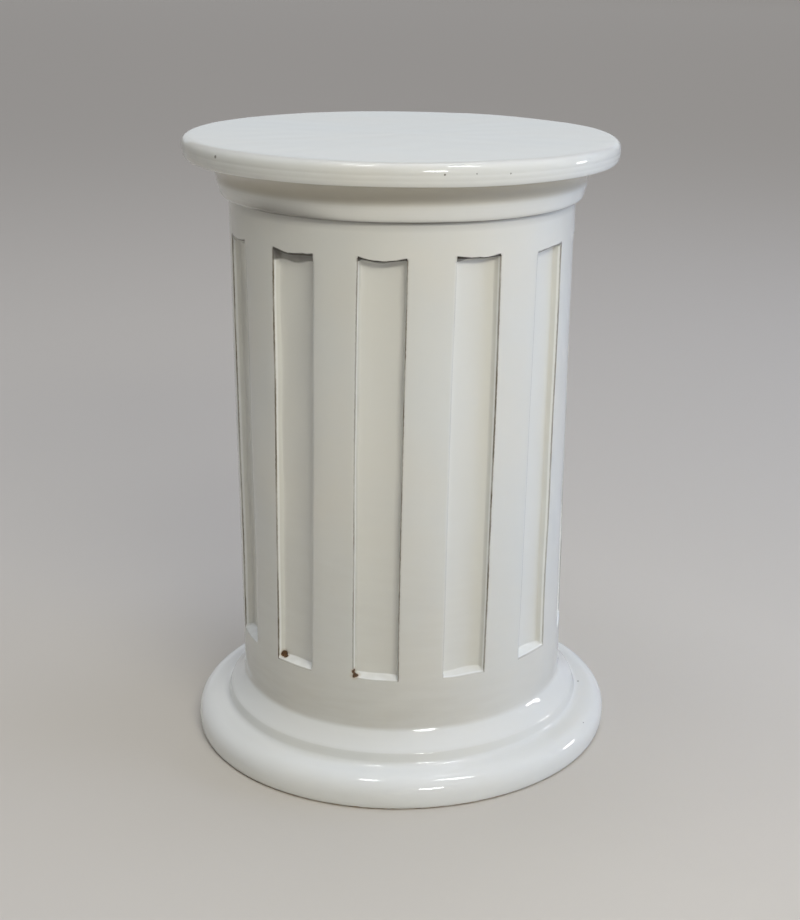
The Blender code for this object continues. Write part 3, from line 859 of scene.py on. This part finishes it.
def tin_glazed_earthenware():
    """Opaque tin-white glaze, brushed over a brown earthenware body and fired glossy. It looks
    wet and a little uneven, draws thin and brown on sharp lips, and shows the body where it is
    chipped and round the bare foot. Painted shade lies in its lip lines, under the flutes' heads,
    in the crease at the neck, in the cove and low on the shaft, and painted light on the foot
    ledges, the fascia and the base."""
    material = bpy.data.materials.new("tin_glazed_earthenware")
    material.use_nodes = True
    tree = material.node_tree
    place = node(tree, "ShaderNodeTexCoord", output="Object")
    from_rim, rim_wear_and_shade, painted_shade_under_head, crease, glaze_edge, cove_shade, pooled_and_painted_light, low_shaft_shade = (
        node(tree, "ShaderNodeAttribute", output="Fac", attribute_name=name)
        for name in ("from_rim", "rim_wear_and_shade", "painted_shade_under_head", "crease", "from_glaze_edge", "cove_shade",
                     "pooled_and_painted_light", "low_shaft_shade"))

    stretch = {"Vector": place, "Scale": (BRUSH_STRETCH, BRUSH_STRETCH, 1.0)}
    stretched = node(tree, "ShaderNodeMapping", stretch, "Vector")
    noise = {}
    for name, vector, wavelength, detail in (
            ("broad", place, BROAD_CLOUD, 2.0),
            ("fine", place, FINE_CLOUD, 2.0),
            ("ragged", place, RAGGED_GRAIN, 3.0),
            ("patch", place, LIP_PATCH, 2.0),
            ("grain", place, BODY_GRAIN, 4.0),
            ("wave", place, GLAZE_EDGE_WAVE, 3.0),
            ("brush", stretched, BRUSH_MARK, 1.0),
            ("streaks", stretched, STREAK, 3.0)):
        inputs = {"Vector": vector, "Scale": per_metre(wavelength), "Detail": detail}
        noise[name] = node(tree, "ShaderNodeTexNoise", inputs, "Fac")

    # The glaze: cool and warm clouds, a little thicker and greyer in places, warmer in the flutes
    colour = mixed(tree, ranged(tree, noise["broad"], 0.35, 0.65), GLAZE_COOL, GLAZE_WARM)
    colour = mixed(tree, ranged(tree, noise["fine"], 0.4, 0.75, 0.0, GREYER), colour, GLAZE_THICK)
    inside = ranged(tree, from_rim, *WARMER_FROM_LIP, 0.0, WARMER, "SMOOTHSTEP")
    colour = mixed(tree, inside, colour, GLAZE_IN_FLUTES)

    # Painted shade towards the foot of the shaft, less on its right, in faint level streaks
    streaks = maths(tree, "MULTIPLY", ranged(tree, noise["streaks"], 0.36, 0.64, *STREAK_SHARES), low_shaft_shade)
    colour = mixed(tree, streaks, colour, PAINTED_SHADE_LOW_ON_SHAFT)

    # It pooled thick and white on the foot ledges, which also carry painted light, as do the fascia
    # and the base; a bead of thick glaze and painted highlight lies inside the lips, and painted
    # shade lies in the cove under the disc
    lip_bead_and_highlight = maths(tree, "ABSOLUTE", maths(tree, "SUBTRACT", from_rim, LIP_BEAD_AND_HIGHLIGHT_PLACE))
    lip_bead_and_highlight = ranged(tree, lip_bead_and_highlight, *LIP_BEAD_AND_HIGHLIGHT_SIDE, LIP_BEAD_AND_HIGHLIGHT_SHARE, 0.0, "SMOOTHSTEP")
    colour = mixed(tree, maths(tree, "MAXIMUM", pooled_and_painted_light, lip_bead_and_highlight), colour, GLAZE_POOLED_AND_PAINTED_LIGHT)
    colour = mixed(tree, cove_shade, colour, PAINTED_SHADE_IN_COVE)

    # A brown line where it draws thin on the lips, with painted shade in it, painted shade under
    # the heads, and dirt and painted shade in the crease at the neck
    sway = maths(tree, "MULTIPLY_ADD", noise["ragged"], -LIP_SWAY, 0.5 * LIP_SWAY)
    sway = maths(tree, "ABSOLUTE", maths(tree, "ADD", from_rim, sway))
    line = ranged(tree, sway, LIP_LINE, 2.2 * LIP_LINE, 1.0, 0.0, "SMOOTHSTEP")
    broken_up = ranged(tree, noise["patch"], 0.35, 0.55, 0.75, 1.0)
    line = maths(tree, "MULTIPLY", maths(tree, "MULTIPLY", line, rim_wear_and_shade), broken_up)
    colour = mixed(tree, line, colour, GLAZE_DRAWN_THIN_WITH_SHADE)
    colour = mixed(tree, painted_shade_under_head, colour, PAINTED_SHADE_UNDER_HEAD)
    colour = mixed(tree, crease, colour, CREASE_DIRT_AND_SHADE)

    # Chips down to the body, the stain round them, and pinholes
    marks = [(chip["place"], chip["radius"]) for chip in chips()]
    stained = [(centre, HALO_REACH * radius) for centre, radius in marks]
    halo = spots(tree, place, noise["ragged"], stained, 0.35)
    colour = mixed(tree, maths(tree, "MULTIPLY", halo, HALO_SHARE), colour, CHIP_HALO)
    bare = spots(tree, place, noise["ragged"], marks, 0.12)
    clay = ranged(tree, noise["grain"], 0.35, 0.65)
    body = mixed(tree, clay, BODY_DARK, BODY_LIGHT)
    colour = mixed(tree, bare, colour, body)
    pins = spots(tree, place, noise["ragged"], pinholes(), 0.3)
    colour = mixed(tree, maths(tree, "MULTIPLY", pins, PINHOLE_SHARE), colour, PINHOLE)

    # The bare foot, below a wavy edge
    edge = maths(tree, "MULTIPLY_ADD", noise["wave"], GLAZE_EDGE_SWAY, glaze_edge)
    unglazed = ranged(tree, edge, 1.2, 1.7, 1.0, 0.0)
    biscuit = mixed(tree, clay, BISCUIT_DARK, BISCUIT_LIGHT)
    colour = mixed(tree, unglazed, colour, biscuit)

    # Glossy glaze and matt clay, with faint brush rings, fainter on the level top, and steps down
    # into the chips
    matt = maths(tree, "MAXIMUM", unglazed, bare)
    smoothest, roughest = GLAZE_ROUGHNESS - ROUGHNESS_RANGE, GLAZE_ROUGHNESS + ROUGHNESS_RANGE
    gloss = ranged(tree, noise["fine"], 0.3, 0.7, smoothest, roughest)
    roughness = maths(tree, "MULTIPLY_ADD", matt, BODY_ROUGHNESS - GLAZE_ROUGHNESS, gloss)
    facing = node(tree, "ShaderNodeNewGeometry", output="Normal")
    upward = node(tree, "ShaderNodeSeparateXYZ", {0: facing}, "Z")
    strength = ranged(tree, upward, 0.9, 0.99, 1.0, BRUSH_ON_TOP)
    brushed = {"Strength": strength, "Height": noise["brush"], "Distance": BRUSH_HEIGHT * MM}
    brushed = node(tree, "ShaderNodeBump", brushed, "Normal")
    sunk = maths(tree, "MULTIPLY_ADD", pins, 0.5, bare)
    coarse = maths(tree, "MULTIPLY", noise["grain"], matt)
    relief = maths(tree, "SUBTRACT", maths(tree, "MULTIPLY", coarse, 0.5), sunk)
    steps = {"Height": relief, "Distance": CHIP_STEP * MM, "Normal": brushed}
    steps = node(tree, "ShaderNodeBump", steps, "Normal")
    shader = tree.nodes["Principled BSDF"]
    shader.inputs["IOR"].default_value = GLAZE_IOR
    shader.inputs["Metallic"].default_value = 0.0
    tree.links.new(colour, shader.inputs["Base Color"])
    tree.links.new(roughness, shader.inputs["Roughness"])
    tree.links.new(steps, shader.inputs["Normal"])
    return material


def pinholes():
    """Small dark pits in the glaze, as (centre, radius), from their angle round the column."""
    made = []
    for degrees, radius, height, size in PINHOLES:
        angle = math.radians(degrees)
        made.append(((radius * math.sin(angle), -radius * math.cos(angle), height), size))
    return made


def pale_floor():
    """Plain pale floor, level with the foot."""
    reach = FLOOR_REACH
    mesh = bpy.data.meshes.new("floor")
    mesh.from_pydata([(-reach, -reach, 0.0), (reach, -reach, 0.0), (reach, reach, 0.0), (-reach, reach, 0.0)],
                     [], [(0, 1, 2, 3)])
    floor = bpy.data.objects.new("floor", mesh)
    bpy.context.scene.collection.objects.link(floor)
    material = bpy.data.materials.new("matt_painted_floor")
    material.use_nodes = True
    shader = material.node_tree.nodes["Principled BSDF"]
    shader.inputs["Base Color"].default_value = linear(FLOOR_COLOUR)
    shader.inputs["Roughness"].default_value = FLOOR_ROUGHNESS
    mesh.materials.append(material)


def aim(item, place, target):
    """Puts a light at a place and turns its -Z to the target."""
    item.location = place
    item.rotation_euler = (Vector(target) - Vector(place)).to_track_quat("-Z", "Y").to_euler()


def lamp(name, azimuth, elevation, distance, width, height, watts, colour, mirrored):
    """Oval light seen from the column's middle at an azimuth, counted from the front to the
    right, and an elevation."""
    light = bpy.data.lights.new(name, "AREA")
    light.shape = "ELLIPSE"
    light.size = width
    light.size_y = height
    light.energy = watts
    light.color = linear(colour)[:3]
    item = bpy.data.objects.new(name, light)
    item.visible_glossy = mirrored
    item.visible_diffuse = not mirrored
    bpy.context.scene.collection.objects.link(item)
    turn, rise = math.radians(azimuth), math.radians(elevation)
    target = Vector((0.0, 0.0, LAMP_TARGET))
    out = Vector((math.sin(turn) * math.cos(rise), -math.cos(turn) * math.cos(rise), math.sin(rise)))
    aim(item, target + out * distance, target)


def studio():
    """Soft even daylight from straight above, a pale surround, broad lamps that shade the column
    from right to left, and small ones that draw the short bright streaks on the roundings."""
    world = bpy.data.worlds.new("studio")
    world.use_nodes = True
    tree = world.node_tree
    back = tree.nodes["Background"]
    back.inputs["Color"].default_value = linear(SURROUND_COLOUR)
    direction = node(tree, "ShaderNodeTexCoord", output="Generated")
    rise = node(tree, "ShaderNodeSeparateXYZ", {0: direction}, "Z")
    strength = ranged(tree, rise, 0.0, 0.5, SURROUND_AT_HORIZON, SURROUND_OVERHEAD, "SMOOTHSTEP")
    tree.links.new(strength, back.inputs["Strength"])
    bpy.context.scene.world = world
    light = bpy.data.lights.new("daylight", "SUN")
    light.energy = DAYLIGHT_STRENGTH
    light.angle = math.radians(DAYLIGHT_SPREAD)
    light.color = linear(DAYLIGHT_COLOUR)[:3]
    daylight = bpy.data.objects.new("daylight", light)
    daylight.visible_glossy = False
    bpy.context.scene.collection.objects.link(daylight)
    for values in LAMPS:
        lamp(*values)


def camera():
    """Camera in the place solved from the column's rings: its axis points right by yaw, down by
    pitch, and is turned by roll."""
    data = bpy.data.cameras.new("camera")
    data.sensor_fit = "VERTICAL"
    data.sensor_height = SENSOR_HEIGHT
    data.lens = FOCAL_PIXELS / FRAME_HEIGHT * data.sensor_height
    data.shift_x = (0.5 * FRAME_WIDTH - CENTRE_X) / FRAME_HEIGHT
    data.shift_y = (CENTRE_Y - 0.5 * FRAME_HEIGHT) / FRAME_HEIGHT
    data.clip_start, data.clip_end = CLIP
    item = bpy.data.objects.new("camera", data)
    bpy.context.scene.collection.objects.link(item)
    pitch, yaw, roll = (math.radians(a) for a in (CAMERA_PITCH, CAMERA_YAW, CAMERA_ROLL))
    forward = Vector((math.sin(yaw) * math.cos(pitch), math.cos(yaw) * math.cos(pitch), -math.sin(pitch)))
    level_right = Vector((math.cos(yaw), -math.sin(yaw), 0.0))
    level_up = level_right.cross(forward)
    right = math.cos(roll) * level_right + math.sin(roll) * level_up
    up = right.cross(forward)
    item.matrix_world = Matrix.Translation((0.0, -CAMERA_DISTANCE, CAMERA_HEIGHT)) @ Matrix(
        (right, up, -forward)).transposed().to_4x4()
    bpy.context.scene.camera = item


def main():
    place, fields = glaze_surface()
    top, bottom = (0.0, 0.0, place[0, :, 2].mean()), (0.0, 0.0, CEILING)
    column = closed_grid("glazed_column", place, fields, top, bottom)
    column.data.materials.append(tin_glazed_earthenware())
    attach(column, "root")
    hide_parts("fluted_column")
    pale_floor()
    studio()
    camera()
    bpy.context.scene.view_settings.view_transform = "Standard"


main()
